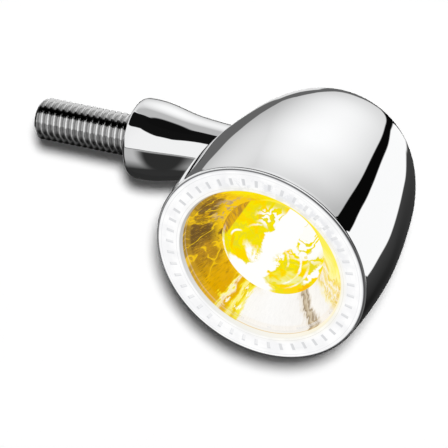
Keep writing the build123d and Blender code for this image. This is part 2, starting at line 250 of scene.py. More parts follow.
def plastic(name, color, rough, bump=0.004, coat=0.0):
    """Moulded plastic with a faint mottle and a fine grain; bump in mm."""
    mat = new_material(name)
    place = mat.coords()
    mottle = mat.noise(place, scale=260.0, detail=4.0)
    fine = mat.noise(place, scale=1500.0, detail=4.0)
    dark = tuple(c * (1 - 0.12) for c in color)
    return mat.done(mat.first(
        "ShaderNodeBsdfPrincipled", Base_Color=mat.mix(mottle, dark, color), Coat_Weight=coat,
        Roughness=mat.mul_add(fine, 0.12, rough),
        Normal=mat.bump(fine, strength=0.6, distance=bump)))


def stud_steel_painted_light(name):
    """Rolled thread steel with painted light: a painted highlight on the crests, painted shade in
    the roots.
    """
    mat = new_material(name)
    _, y, z = mat.split(mat.coords())
    y = mat.mul(y, 1000.0)
    z = mat.mul(z, 1000.0)
    radius = mat.length(y, z)
    # painted highlight on the thread crests, painted shade down in the roots
    crest_highlight = mat.linear(radius, off=3.76, on=3.90)
    root_shade = mat.linear(radius, off=3.22, on=3.77)
    grain = mat.noise(mat.coords(), scale=1400.0, detail=4.0)
    color = mat.mix(root_shade, (0.40, 0.40, 0.40), (0.66, 0.66, 0.66))
    color = mat.paint(color, (0.97, 0.97, 0.97), crest_highlight)
    color = mat.paint(color, (0.42, 0.42, 0.42), grain, amount=0.22)
    # a painted dark reflection band along the outside, at 115 degrees from +Y towards +Z
    outside = mat.math("GREATER_THAN", radius, 3.0)
    off_reflection_band = mat.away(mat.degrees(z, y), 115.0)
    line = mat.mul(mat.linear(off_reflection_band, off=9.5, on=6.5), outside)
    color = mat.paint(color, (0.012, 0.012, 0.012), line, amount=0.93)
    # painted shade on the underside
    under = mat.mul(mat.linear(z, off=-1.0, on=-2.9), outside)
    color = mat.paint(color, (0.03, 0.03, 0.03), under, amount=0.80)
    fine = mat.noise(mat.coords(), scale=2600.0)
    return mat.done(mat.first(
        "ShaderNodeBsdfPrincipled", Metallic=1.0, Base_Color=color,
        Roughness=mat.mul_add(grain, 0.06, 0.06),
        Normal=mat.bump(fine, strength=1.0, distance=0.0010)))


# ================================================================ lit materials
def head_coords(mat):
    """Mm across (+X), up (+Z) and deep (+Y) in the head; radius; angle 0..360 from +X to +Z."""
    x, y, z = mat.split(mat.coords())
    across = mat.mul_add(x, 1000.0, -HEAD_X)
    depth = mat.mul_add(y, 1000.0, -FRONT_Y)
    up = mat.mul(z, 1000.0)
    radius = mat.length(across, up)
    angle = mat.wrap(mat.degrees(up, across), 360.0)
    return across, up, depth, radius, angle


def facing_front(mat):
    """1 where the surface faces -Y."""
    return mat.mul(mat.split(mat.coords("Normal"))[1], -1.0)


def lit_surface(mat, color, strength, coat, rough):
    """Emission seen through a clear skin that still reflects the room."""
    emission = mat.first("ShaderNodeEmission", Color=mat.mix(1.0, color, color),
                         Strength=strength)
    sheen = mat.mul(mat.first("ShaderNodeFresnel", IOR=1.47), coat)
    glossy = mat.first("ShaderNodeBsdfGlossy", Roughness=rough,
                       Color=mat.vector(sheen, sheen, sheen))
    return mat.filled("ShaderNodeAddShader", emission, glossy)


# how far the edges of the bowl's painted reflection patches lean: (angle, degrees per mm of depth)
BOWL_LEAN = [(0, 0.0), (110, 0.0), (124, -2.9), (152, -2.6), (168, -1.6), (185, 0.0),
             (272, 0.0), (298, 2.0), (330, 3.4), (352, 3.4), (360, 0.0)]
# painted reflected light of the bowl up to about 216 degrees, then beyond: (angle, sRGB red, green,
# blue)
BOWL_REFLECTION_FIRST = [
    (0, 250, 238, 110), (20, 250, 226, 20), (60, 250, 228, 0), (112, 250, 231, 10),
    (121, 248, 222, 20), (127, 242, 198, 20), (130.5, 204, 152, 30), (133.5, 234, 186, 26),
    (136.5, 130, 96, 44), (142, 152, 114, 40), (147, 116, 86, 38), (153, 132, 102, 58),
    (157, 112, 84, 38), (160, 218, 166, 24), (162.5, 118, 88, 38), (165.5, 238, 192, 22),
    (168, 128, 94, 38), (173, 110, 82, 38), (181, 122, 92, 36), (187, 152, 114, 36),
    (192, 190, 142, 30), (199, 172, 128, 28), (206, 204, 154, 14), (211, 224, 170, 4),
    (222, 222, 166, 0)]
BOWL_REFLECTION_SECOND = [
    (211, 224, 170, 4), (224, 222, 166, 0), (226.5, 224, 166, 0), (228.0, 250, 238, 40),
    (229.8, 255, 254, 236), (231.5, 228, 172, 0), (234.5, 230, 180, 0), (236.5, 248, 226, 0),
    (238.5, 255, 250, 170), (240.5, 248, 224, 0), (242.3, 220, 176, 16), (243.4, 250, 240, 60),
    (245.6, 248, 232, 66), (247.2, 250, 248, 244), (268, 250, 249, 248), (291.5, 247, 245, 243),
    (295.6, 232, 222, 206), (297.0, 118, 88, 44), (298.4, 206, 190, 162), (301.2, 216, 202, 180),
    (302.8, 128, 102, 62), (304.4, 224, 212, 194), (307, 250, 247, 243), (321, 246, 243, 240),
    (325.5, 250, 240, 190), (328, 236, 206, 90), (330.5, 250, 247, 240), (334, 244, 214, 70),
    (337, 252, 250, 240), (341, 242, 210, 60), (345, 252, 246, 170), (359, 250, 238, 90)]


def bowl_painted_reflection(mat, across, up, depth, radius, angle):
    """Painted reflection of the lamp's light in the reflector, and its fine streaks; the ring's
    inner wall uses it too.
    """
    cos = mat.div(across, radius)
    sin = mat.div(up, radius)

    def streaks(depth_scale, **noise):
        """Noise stretched down the bowl."""
        return mat.noise(mat.vector(cos, sin, mat.mul(depth, depth_scale)), **noise)

    wander = streaks(0.16, scale=3.2, detail=2.0)
    streak = streaks(0.022, scale=26.0, detail=3.0, rough=0.6)
    fine = streaks(0.012, scale=75.0, detail=2.0, rough=0.6)
    blot = mat.noise(mat.vector(across, up, depth), scale=0.55, detail=4.0, rough=0.62)
    # patch edges wander in degrees, least around 266
    shift = mat.add(mat.mul(mat.sub(wander, 0.5), 18.0), mat.mul(mat.sub(streak, 0.5), 16.0))
    calm = mat.math("MULTIPLY", mat.away(angle, 266.0), 1 / 60.0, clamp=True)
    moved = mat.add(angle, mat.mul(shift, mat.mul_add(calm, 0.75, 0.25)))
    # the ramp holds the lean of -4..4 as 0..1
    lean = mat.angle_ramp(mat.div(angle, 360.0), [(a, (k + 4.0) / 8.0) for a, k in BOWL_LEAN])
    moved = mat.add(moved, mat.mul(mat.mul_add(lean, 8.0, -4.0),
                                   mat.min(mat.sub(depth, 4.5), 3.5)))
    turns = mat.div(moved, 360.0)
    first = mat.angle_ramp(turns, BOWL_REFLECTION_FIRST)
    second = mat.angle_ramp(turns, BOWL_REFLECTION_SECOND)
    color = mat.mix(mat.smooth(moved, off=215.0, on=217.0), first, second)
    # fine painted gold glints and dark streaks of reflection down the brown and amber sectors
    warm = mat.all(*mat.band(angle, rise=(126.0, 140.0), fall=(206.0, 232.0)))
    color = mat.paint(color, srgb(240, 190, 30),
                      mat.all(mat.smooth(fine, off=0.60, on=0.68), warm), amount=0.50)
    dark = mat.all(mat.smooth(fine, off=0.44, on=0.34),
                   *mat.band(angle, rise=(126.0, 140.0), fall=(214.0, 232.0)))
    color = mat.paint(color, srgb(96, 70, 26), dark, amount=0.50)
    # wandering painted gold glints in the brown sector
    path = mat.noise(mat.vector(across, up, mat.mul_add(depth, 0.4, 5.0)), scale=0.30,
                     detail=1.5)
    gaps = mat.noise(mat.vector(up, across, depth), scale=0.5, detail=1.0)
    thread = mat.mul(mat.smooth(mat.away(path, 0.5), off=0.022, on=0.006),
                     mat.smooth(gaps, off=0.40, on=0.52))
    sector = mat.band(angle, rise=(118.0, 132.0), fall=(200.0, 222.0))
    color = mat.paint(color, srgb(248, 204, 20), mat.all(thread, *sector), amount=0.85)
    # painted golden bloom of light deep in the bowl, beside the centre optic
    deep = mat.all(mat.smooth(depth, off=5.6, on=8.2),
                   mat.smooth(mat.add(blot, mat.mul(streak, 0.3)), off=0.54, on=0.66))
    side = mat.all(*mat.band(angle, rise=(128.0, 140.0), fall=(230.0, 262.0)))
    color = mat.paint(color, srgb(246, 200, 24), mat.all(deep, side))
    # painted bright reflections at the lower left
    mottle = mat.add(mat.mul(streak, 0.55), mat.mul(blot, 0.45))
    strokes = mat.all(*mat.band(angle, rise=(225.0, 234.0), fall=(245.0, 252.0)),
                      mat.smooth(mottle, off=0.555, on=0.580))
    color = mat.paint(color, srgb(255, 254, 232), strokes, amount=0.92)
    # painted pale beige reflections by the optic, upper left
    beige = mat.all(*mat.band(angle, rise=(134.0, 142.0), fall=(160.0, 176.0)),
                    mat.smooth(depth, off=5.0, on=7.0), mat.smooth(blot, off=0.50, on=0.44))
    color = mat.paint(color, srgb(206, 176, 128), beige, amount=0.75)
    # painted amber glow where the bowl meets the window, weaker at the bottom
    rim = mat.smooth(depth, off=2.3, on=1.9)
    bottom = mat.all(*mat.band(angle, rise=(234.0, 244.0), fall=(322.0, 334.0)))
    rim = mat.mul(rim, mat.mul_add(bottom, -0.22, 0.30))
    return mat.paint(color, srgb(226, 180, 50), rim), fine


def bowl_material(name):
    """Painted reflected light on the inside; the other faces are plain bright metallising."""
    mat = new_material(name)
    head = head_coords(mat)
    _, _, depth, radius, _ = head
    color, fine = bowl_painted_reflection(mat, *head)
    inside = mat.all(mat.max(mat.smooth(radius, off=14.75, on=14.60),
                             mat.smooth(depth, off=1.80, on=1.76)),
                     mat.smooth(depth, off=12.95, on=12.75))
    lit = lit_surface(mat, color, strength=mat.mul_add(fine, 0.16, 0.95), coat=0.09, rough=0.10)
    plain = mat.first("ShaderNodeBsdfPrincipled", Metallic=1.0, Base_Color=(0.80, 0.80, 0.81),
                      Roughness=mat.mul_add(fine, 0.1, 0.16))
    return mat.done(mat.mix_shader(inside, plain, lit))


def optic_painted_light(mat, across, up, u, v, radius, angle, swirl):
    """Painted yellow and amber light of the lamp in the centre optic; u and v are the drifted
    coordinates.
    """
    curl = mat.noise(mat.vector(mat.mul(radius, 0.9), mat.mul(angle, 0.016), 2.0),
                     scale=1.3, rough=0.6)
    color = mat.mix(mat.smooth(curl, off=0.40, on=0.60), srgb(250, 230, 0), srgb(240, 222, 6))
    # painted swirls of light with crisp borders
    color = mat.paint(color, srgb(232, 218, 36),
                      mat.all(mat.smooth(swirl, off=0.545, on=0.560),
                              mat.invert(mat.smooth(swirl, off=0.615, on=0.625))))
    color = mat.paint(color, srgb(252, 216, 0), mat.smooth(swirl, off=0.430, on=0.418))
    # painted amber and brown light in stripes at the upper left rim
    to_upper_left = mat.add(mat.mul(across, -0.84), mat.mul(up, 0.54))
    upper_left = mat.all(mat.smooth(to_upper_left, off=7.75, on=8.05),
                         mat.smooth(up, off=1.2, on=2.4))
    stripes = mat.noise(mat.vector(mat.add(across, up), mat.mul(mat.sub(up, across), 0.25), 0.0),
                        scale=1.5, detail=2.0)
    amber = mat.mix(mat.smooth(stripes, off=0.42, on=0.58), srgb(226, 172, 24),
                    srgb(184, 138, 46))
    color = mat.paint(color, amber, upper_left)
    # painted amber light spots at the top and on the left
    spot = mat.ellipse(u, v, at=(-1.2, 7.6), radii=(0.9, 0.45), turn=70.0, soft=0.3)
    color = mat.paint(color, srgb(240, 196, 40), spot, amount=0.7)
    spot = mat.ellipse(across, up, at=(-6.75, 1.3), radii=(0.30, 1.7), turn=-14.0, soft=0.5)
    color = mat.paint(color, srgb(250, 196, 0), spot, amount=0.8)
    # painted pale pool of light under the middle
    pool = mat.ellipse(u, v, at=(2.7, -4.5), radii=(3.6, 1.5), turn=16.0, soft=0.22)
    color = mat.paint(color, srgb(244, 241, 160),
                      mat.mul(pool, mat.smooth(swirl, off=0.40, on=0.60)))
    # painted amber light on the lower right
    spot = mat.ellipse(u, v, at=(4.4, -7.6), radii=(3.0, 0.9), turn=32.0, soft=0.16)
    color = mat.paint(color, srgb(252, 216, 4), spot)
    spot = mat.ellipse(u, v, at=(6.0, -6.7), radii=(0.7, 1.4), turn=-38.0, soft=0.2)
    color = mat.paint(color, srgb(250, 190, 4), spot)
    # painted pale highlight at the right rim
    spot = mat.ellipse(u, v, at=(8.1, 1.2), radii=(1.5, 0.9), turn=20.0, soft=0.15)
    return mat.paint(color, srgb(246, 232, 206), spot, amount=0.7)


def optic_glare(mat, across, up, u, v, radius, angle, drift_u, drift_v):
    """Mask of the blown-out light on the centre optic."""
    # from the upper right through the middle to the lower left
    upper_right, middle, lower_left, link, left = [
        mat.ellipse(u, v, at, radii, turn, soft) for at, radii, turn, soft in (
            ((3.5, 5.0), (6.2, 2.45), 52.0, 0.07), ((0.9, 0.2), (3.6, 2.1), 62.0, 0.09),
            ((-4.4, -5.8), (4.9, 2.5), -36.0, 0.13), ((-2.0, -3.2), (3.6, 1.9), 42.0, 0.12),
            ((-2.5, 0.2), (1.4, 1.9), 20.0, 0.5))]
    glare = mat.max(mat.max(upper_right, link), mat.max(middle, mat.max(lower_left, left)))
    # pale curls with crisp yellow lines, on the right and at the top
    bent = mat.noise(mat.vector(mat.mul_add(drift_u, 5.0, across), mat.mul_add(drift_v, 5.0, up),
                                60.0), scale=0.34, detail=1.0, rough=0.4)
    wave = mat.math("SINE", mat.mul(bent, 38.0))
    where = mat.max(mat.ellipse(across, up, at=(7.0, 3.6), radii=(3.2, 4.4), turn=20.0),
                    mat.ellipse(across, up, at=(1.0, 7.4), radii=(2.6, 1.6)))
    curls = mat.all(where, mat.smooth(wave, off=0.35, on=0.10))
    glare = mat.max(glare, mat.mul(curls, 0.96))
    # rings cut in the face catch the light, jagged and broken
    jag = mat.noise(mat.vector(mat.mul(across, 1.0), up, 3.0), scale=1.9, rough=0.7)
    jagged = mat.add(radius, mat.mul(mat.sub(jag, 0.5), 0.55))
    breaks = mat.noise(mat.vector(mat.mul(across, 0.5), mat.mul(up, 0.5), 12.0), scale=0.9,
                       detail=2.0)
    broken = mat.smooth(breaks, off=0.42, on=0.58)

    def ring_line(at, width, level, start, end):
        """Arc at a radius, between two angles."""
        line = mat.smooth(mat.away(jagged, at), off=width, on=width * 0.3)
        middle, half = (start + end) / 2, (end - start) / 2
        off_middle = mat.away(mat.wrap(angle, 540.0 - middle), 180.0)
        ends = mat.smooth(off_middle, off=half + 18, on=half - 18)
        return mat.mul(mat.all(line, ends, mat.mul_add(broken, 0.6, 0.4)), level)

    # columns: radius, width, level, start and end angle; two arcs to a group
    inner, between, outer = [mat.max(ring_line(*one), ring_line(*other)) for one, other in (
        ((3.6, 0.30, 1.0, 150, 250), (4.1, 0.22, 0.8, -20, 55)),
        ((6.25, 0.24, 1.0, -70, 40), (6.1, 0.22, 0.95, 98, 112)),
        ((9.05, 0.34, 0.8, 165, 245), (7.5, 0.26, 0.9, -60, -5)))]
    # a small arc left of the middle
    reach = mat.math("SQRT", mat.add(mat.math("POWER", mat.add(across, 4.6), 2.0),
                                     mat.math("POWER", mat.sub(up, 1.4), 2.0)))
    arc = mat.all(mat.smooth(mat.away(reach, 2.55), off=0.22, on=0.08),
                  mat.smooth(up, off=2.0, on=2.8), mat.smooth(across, off=-4.4, on=-5.2))
    rim_line = mat.ellipse(u, v, at=(7.9, -3.4), radii=(2.7, 0.42), turn=46.0, soft=0.3)
    glare = mat.max(mat.max(glare, rim_line),
                    mat.max(arc, mat.max(inner, mat.max(between, outer))))
    # yellow teeth on both sides of the bright middle
    teeth = mat.noise(mat.vector(mat.mul(radius, 1.6), mat.mul(angle, 0.05), 6.0), scale=1.3,
                      rough=0.6)
    beside = mat.max(
        mat.ellipse(across, up, at=(-1.7, 0.8), radii=(0.8, 1.8), turn=-14.0, soft=0.5),
        mat.ellipse(across, up, at=(3.1, -0.8), radii=(1.2, 1.8), turn=20.0, soft=0.5))
    bite = mat.mul(mat.all(beside, mat.smooth(teeth, off=0.50, on=0.46)), 0.92)
    return mat.mul(glare, mat.invert(bite))


def optic_material(name):
    """Clear optic over the amber light: painted yellow swirls of light under a painted blown-out
    glare.
    """
    mat = new_material(name)
    across, up, depth, radius, angle = head_coords(mat)

    def drift(value, noise, reach):
        """Push a coordinate by up to half the reach (mm) either way."""
        return mat.add(value, mat.mul_add(noise, reach, -reach / 2))

    # a broad drift and a finer curl, so that the edges sweep round
    broad = dict(scale=0.34, detail=3.0, rough=0.55)
    drift_u = mat.noise(mat.vector(across, up, 0.0), **broad)
    drift_v = mat.noise(mat.vector(mat.add(across, 31.0), mat.add(up, 17.0), 4.0), **broad)
    curl_u = mat.noise(mat.vector(across, up, 21.0), scale=1.0, detail=2.0)
    curl_v = mat.noise(mat.vector(up, across, 27.0), scale=1.0, detail=2.0)
    u = drift(drift(across, drift_u, reach=3.4), curl_u, reach=1.5)
    v = drift(drift(up, drift_v, reach=3.4), curl_v, reach=1.5)
    swirl = mat.noise(mat.vector(u, v, 40.0), scale=0.42, detail=1.5)
    color = optic_painted_light(mat, across, up, u, v, radius, angle, swirl)
    glare = optic_glare(mat, across, up, u, v, radius, angle, drift_u, drift_v)
    color = mat.paint(color, (1.0, 1.0, 0.99), glare)
    # painted yellow glow on the tapering body behind the face
    body = mat.mix(drift_u, srgb(246, 222, 10), srgb(254, 240, 90))
    color = mat.paint(color, body, mat.smooth(depth, off=6.1, on=6.6))
    return mat.done(lit_surface(mat, color, strength=1.02, coat=0.07, rough=0.03))


# how strongly the painted shade in the ring's notches shows: (angle, amount)
NOTCH_SHADE_AMOUNT = [(0, 0.45), (60, 0.55), (95, 1.0), (150, 0.95), (175, 0.45), (215, 0.30),
              (262, 0.30), (285, 0.9), (325, 0.9), (345, 0.5), (360, 0.45)]
# painted light and shade on the ring's inner bevel, amber light on the right and grey shade on the
# left: (angle, sRGB red, green, blue)
BEVEL_LIGHT_AND_SHADE = [
    (0, 250, 236, 160), (50, 250, 234, 130), (88, 224, 196, 90), (112, 190, 168, 110),
    (132, 160, 155, 150), (165, 184, 184, 184), (200, 214, 214, 214), (235, 240, 240, 236),
    (290, 252, 250, 246), (330, 250, 243, 222), (359, 250, 236, 160)]


def ring_material(name):
    mat = new_material(name)
    across, up, depth, radius, angle = head_coords(mat)
    # near-white, with soft clouds and a faint grey flow
    facing = facing_front(mat)
    cloud = mat.noise(mat.vector(across, up, depth), scale=0.30)
    flow = mat.noise(mat.vector(mat.mul(radius, 2.2), mat.mul(angle, 0.06), 0.0), scale=1.0)
    color = mat.mix(mat.smooth(cloud, off=0.38, on=0.62), srgb(247, 247, 248),
                    srgb(255, 255, 255))
    color = mat.paint(color, srgb(238, 239, 240), mat.smooth(flow, off=0.56, on=0.70),
                      amount=0.45)
    # sloping faces send less light forward
    color = mat.paint(color, srgb(226, 227, 229), mat.smooth(facing, off=0.97, on=0.70))
    # grey clouds on the upper right
    patches = mat.noise(mat.vector(across, up, 2.0), scale=0.62, detail=4.0, rough=0.65)
    upper = mat.all(mat.smooth(mat.away(angle, 66.0), off=62.0, on=30.0),
                    mat.smooth(radius, off=18.6, on=17.2))
    color = mat.paint(color, srgb(232, 233, 236),
                      mat.all(upper, mat.smooth(patches, off=0.47, on=0.57)), amount=0.85)
    # painted shade in the notches, stronger at some angles
    notch = mat.all(mat.smooth(depth, off=0.06, on=0.20),
                    *mat.band(radius, rise=(16.2, 16.45), fall=(17.75, 18.0)))
    seen = mat.angle_ramp(mat.div(angle, 360.0), NOTCH_SHADE_AMOUNT)
    color = mat.paint(color, srgb(214, 215, 217), mat.mul(notch, seen))
    # painted light spilled on the inner bevel with painted grey shade on its left, and a painted
    # yellow glow beside it, strongest at 20 degrees
    bevel = mat.smooth(radius, off=15.36, on=15.16)
    spill = mat.angle_ramp(mat.div(angle, 360.0), BEVEL_LIGHT_AND_SHADE)
    color = mat.paint(color, spill, bevel, amount=0.92)
    swing = mat.math("COSINE", mat.math("RADIANS", mat.sub(angle, 20.0)))
    tint = mat.all(mat.smooth(radius, off=16.6, on=15.1), mat.mul_add(swing, 0.5, 0.5))
    color = mat.paint(color, srgb(255, 236, 130), tint, amount=0.22)
    # painted shade: a dark hairline in the gap where the ring meets the shell
    color = mat.paint(color, srgb(92, 92, 94), mat.smooth(radius, off=19.26, on=19.36))
    # the clear inner wall shows the bowl behind it, painted on with the bowl's painted reflected
    # light
    wall, _ = bowl_painted_reflection(mat, across, up, mat.max(depth, WINDOW_BACK), radius, angle)
    color = mat.paint(color, wall, mat.all(mat.smooth(radius, off=14.96, on=14.92),
                                           mat.smooth(depth, off=0.60, on=0.80)))
    # thin painted amber glow along the bottom of that wall
    line = mat.all(mat.smooth(radius, off=14.96, on=14.92),
                   mat.smooth(mat.away(depth, 0.90), off=0.15, on=0.06),
                   *mat.band(angle, rise=(234.0, 246.0), fall=(322.0, 336.0)))
    color = mat.paint(color, srgb(232, 190, 70), line, amount=0.60)
    # painted shade on the sides and back
    color = mat.paint(color, srgb(226, 226, 226), mat.smooth(depth, off=1.2, on=2.6))
    return mat.done(lit_surface(mat, color, strength=1.0, coat=0.30, rough=0.12))


def window_material(name):
    """Clear, with a faint reflection on the front face only."""
    mat = new_material(name)
    clear = mat.first("ShaderNodeBsdfTransparent", Color=(0.995, 0.995, 0.99))
    glossy = mat.first("ShaderNodeBsdfGlossy", Roughness=0.02)
    haze = mat.noise(mat.coords(), scale=500.0)
    backfacing = mat.node("ShaderNodeNewGeometry").outputs["Backfacing"]
    shine = mat.all(mat.first("ShaderNodeFresnel", IOR=1.49), mat.mul_add(haze, 0.04, 0.05),
                    mat.sub(1.0, backfacing), mat.math("GREATER_THAN", facing_front(mat), 0.8))
    return mat.done(mat.mix_shader(shine, clear, glossy))


def emitter(name, color, edge):
    mat = new_material(name)
    speckle = mat.noise(mat.coords(), scale=1800.0)
    return mat.done(lit_surface(mat, mat.mix(speckle, edge, color), strength=1.0, coat=0.4,
                                rough=0.1))


chrome = metal("polished_chrome", (0.955, 0.96, 0.965), rough=0.012, tint=0.01,
               grain_scale=300.0, rough_spread=0.010)
stud_steel = stud_steel_painted_light("stud_steel_with_painted_light")
fastener = metal("zinc_fastener", (0.72, 0.72, 0.74), rough=0.24, tint=0.1, bump=0.004)
aluminium = metal("milled_aluminium", (0.78, 0.79, 0.80), rough=0.28, tint=0.08,
                  grain_scale=700.0, rough_spread=0.12, bump=0.004, stretch=(1, 6, 1))
brass = metal("bright_brass", (0.83, 0.64, 0.30), rough=0.20, tint=0.12, bump=0.003)
rubber = plastic("black_rubber", (0.020, 0.020, 0.021), rough=0.62, bump=0.01)
black_plastic = plastic("moulded_black", (0.025, 0.025, 0.028), rough=0.38)
white_board = plastic("white_board", (0.80, 0.80, 0.78), rough=0.45)
green_board = plastic("green_board", (0.03, 0.20, 0.08), rough=0.40, coat=0.3)
lead_black = plastic("lead_black", (0.02, 0.02, 0.02), rough=0.42)
lead_blue = plastic("lead_blue", (0.03, 0.08, 0.40), rough=0.42)
lead_white = plastic("lead_white", (0.82, 0.82, 0.80), rough=0.42)
bowl_lit = bowl_material("metallised_bowl")
optic_lit = optic_material("clear_centre_optic")
ring_lit = ring_material("lit_ring")
window_clear = window_material("clear_window")
amber_emitter = emitter("amber_emitter", color=srgb(255, 214, 60), edge=srgb(250, 160, 10))
white_emitter = emitter("white_emitter", color=(1.0, 1.0, 1.0), edge=srgb(240, 240, 232))

# materials of the CAD pieces
for material, names in (
        (chrome, "housing_shell stem_arm"),
        (stud_steel, "threaded_stud"),
        (rubber, "stud_o_ring stud_grommet ring_gasket"),
        (fastener, "stem_washer stem_nut friction_washer led_screws driver_screws"),
        (aluminium, "heat_sink capacitors"),
        (brass, "board_spacers link_pins ring_link_pins"),
        (white_board, "led_board position_board"),
        (green_board, "driver_board"),
        (black_plastic, "driver_chip filter_inductor chip_resistors protection_diodes"
                        " lead_sheath"),
        (lead_black, "ground_lead"),
        (lead_blue, "turn_lead"),
        (lead_white, "position_lead"),
        (ring_lit, "light_ring"),
        (window_clear, "front_lens"),
        (bowl_lit, "reflector_bowl"),
        (optic_lit, "centre_optic"),
        (amber_emitter, "amber_led"),
        (white_emitter, "position_leds")):
    for name in names.split():
        slots = NODES[name].data.materials
        slots.clear()
        slots.append(material)


# ================================================================ mesh helpers
def spline(points, per_span, start=None, end=None):
    """Chord-length cubic through 2D points; start and end are directions, free if None."""
    points = np.array(points, float)
    steps = np.diff(points, axis=0)
    spans = np.hypot(*steps.T)
    slopes = steps / spans[:, None]
    count = len(points)
    system = np.zeros((count, count))
    target = np.zeros((count, 2))
    for i in range(1, count - 1):
        system[i, i - 1:i + 2] = spans[i - 1], 2 * (spans[i - 1] + spans[i]), spans[i]
        target[i] = 6 * (slopes[i] - slopes[i - 1])
    if start is None:
        system[0, 0] = 1.0
    else:
        system[0, :2] = 2 * spans[0], spans[0]
        target[0] = 6 * (slopes[0] - np.array(start) / math.hypot(*start))
    if end is None:
        system[-1, -1] = 1.0
    else:
        system[-1, -2:] = spans[-1], 2 * spans[-1]
        target[-1] = 6 * (np.array(end) / math.hypot(*end) - slopes[-1])
    bends = np.linalg.solve(system, target)
    curve = []
    for i, span in enumerate(spans):
        done = np.linspace(0, span, per_span, endpoint=False)[:, None]
        left = span - done
        curve.append(bends[i] * left ** 3 / (6 * span) + bends[i + 1] * done ** 3 / (6 * span)
                     + (points[i] / span - bends[i] * span / 6) * left
                     + (points[i + 1] / span - bends[i + 1] * span / 6) * done)
    return [tuple(point) for point in np.concatenate(curve + [points[-1:]])]


def head_point(radius, depth, angle):
    return ((HEAD_X + radius * math.cos(angle)) * MM, (FRONT_Y + depth) * MM,
            radius * math.sin(angle) * MM)


def stem_point(radius, x, angle):
    return (x * MM, radius * math.cos(angle) * MM, radius * math.sin(angle) * MM)


def lathe(profile, segments, place, closed=False, wobble=None):
    """Turn a profile of (radius, along) about an axis; a point on the axis stays one point."""
    verts, rings = [], []
    for i, (radius, along) in enumerate(profile):
        first = len(verts)
        if abs(radius) < 1e-9:
            verts.append(place(0.0, along, 0.0))
            rings.append([first] * segments)
            continue
        for k in range(segments):
            angle = 2 * math.pi * k / segments
            point = wobble(i, radius, along, angle) if wobble else (radius, along)
            verts.append(place(*point, angle))
        rings.append(list(range(first, first + segments)))
    faces = []
    count = len(rings)
    for i in range(count if closed else count - 1):
        one, other = rings[i], rings[(i + 1) % count]
        for k in range(segments):
            after = (k + 1) % segments
            corners = [one[k], one[after], other[after], other[k]]
            corners = [v for j, v in enumerate(corners) if v not in corners[:j]]
            if len(corners) >= 3:
                faces.append(corners)
    return verts, faces


def closed_grid_faces(rows, columns):
    """Quads over a grid of vertices that closes on itself both ways."""
    faces = []
    for i in range(rows):
        this, following = i * columns, (i + 1) % rows * columns
        for k in range(columns):
            after = (k + 1) % columns
            faces.append([this + k, this + after, following + after, following + k])
    return faces


def add_object(name, verts, faces):
    mesh = bpy.data.meshes.new(name)
    mesh.from_pydata(verts, [], faces)
    work = bmesh.new()
    work.from_mesh(mesh)
    bmesh.ops.remove_doubles(work, verts=work.verts, dist=1e-8)
    bmesh.ops.recalc_face_normals(work, faces=work.faces)
    work.to_mesh(mesh)
    work.free()
    obj = bpy.data.objects.new(name, mesh)
    bpy.context.scene.collection.objects.link(obj)
    return obj


def shade(mesh, sharp):
    """Smooth shading; edges over the sharp angle (degrees) stay crisp."""
    mesh.polygons.foreach_set("use_smooth", [True] * len(mesh.polygons))
    if sharp:
        mesh.set_sharp_from_angle(angle=math.radians(sharp))


def piece(name, shape, material, node, sharp=None, body="lamp"):
    """A finished piece that stands in for a CAD node; shape is (verts, faces)."""
    obj = add_object(name, *shape)
    shade(obj.data, sharp)
    obj.data.materials.append(material)
    obj.data.update()
    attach(obj, body)
    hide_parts(node)
    return obj


# ================================================================ shell and arm
# profiles of (radius, depth)
SHELL_SKIN = [(19.779, 0.72), (20.02, 4.0), (20.117, 8.0), (20.02, 12.5), (19.42, 18.0),
              (18.32, 24.0), (16.78, 30.0), (15.60, 33.0), (14.02, 36.0), (12.50, 38.0),
              (10.35, 40.0), (7.45, 42.0), (4.70, 43.3), (0.0, 44.2)]
SHELL_CAVITY = [(16.4, 22.0), (16.05, 26.0), (15.10, 30.0), (13.90, 33.0), (12.15, 36.0),
                (10.10, 38.0), (7.10, 40.2), (0.0, 42.3)]
SHELL_LEDGES = [(16.4, 17.0), (17.6, 17.0), (17.6, 8.0), (18.55, 8.0), (18.55, 4.4),
                (RIM_RADIUS, 4.4)]
LIP_ROUND = 0.325                   # radius of the rounded lip
LIP_CENTRE = (19.455, 0.625)
PORT_RADIUS, PORT_X, PORT_SEGMENTS = 5.33, (12.0, 30.0), 256   # hole for the arm


def port_cutter():
    verts, faces = lathe([(PORT_RADIUS, x) for x in PORT_X], PORT_SEGMENTS, stem_point)
    faces.append(tuple(range(PORT_SEGMENTS - 1, -1, -1)))
    faces.append(tuple(range(PORT_SEGMENTS, 2 * PORT_SEGMENTS)))
    return add_object("cutter", verts, faces)


def build_shell():
    skin = spline(SHELL_SKIN, 8, start=(0.09, 1.0), end=(-1.0, 0.0))
    lip = [(RIM_RADIUS, 0.44), (19.452, 0.34)]
    lip += [(LIP_CENTRE[0] + LIP_ROUND * math.sin(t), LIP_CENTRE[1] - LIP_ROUND * math.cos(t))
            for t in np.radians(np.linspace(4, 88, 11))]
    cavity = spline(SHELL_CAVITY, 4, start=(0.0, 1.0), end=(-1.0, 0.0))
    shape = lathe(cavity[::-1] + SHELL_LEDGES + lip + skin, 480, head_point)
    obj = piece("shell_polished", shape, chrome, "housing_shell")
    cutter = port_cutter()
    port = obj.modifiers.new("port", "BOOLEAN")
    port.operation = "DIFFERENCE"
    port.solver = "EXACT"
    port.object = cutter
    graph = bpy.context.evaluated_depsgraph_get()
    mesh = bpy.data.meshes.new_from_object(obj.evaluated_get(graph))
    obj.modifiers.clear()
    obj.data = mesh
    mesh.materials.clear()
    mesh.materials.append(chrome)
    shade(mesh, sharp=28)
    bpy.data.objects.remove(cutter)


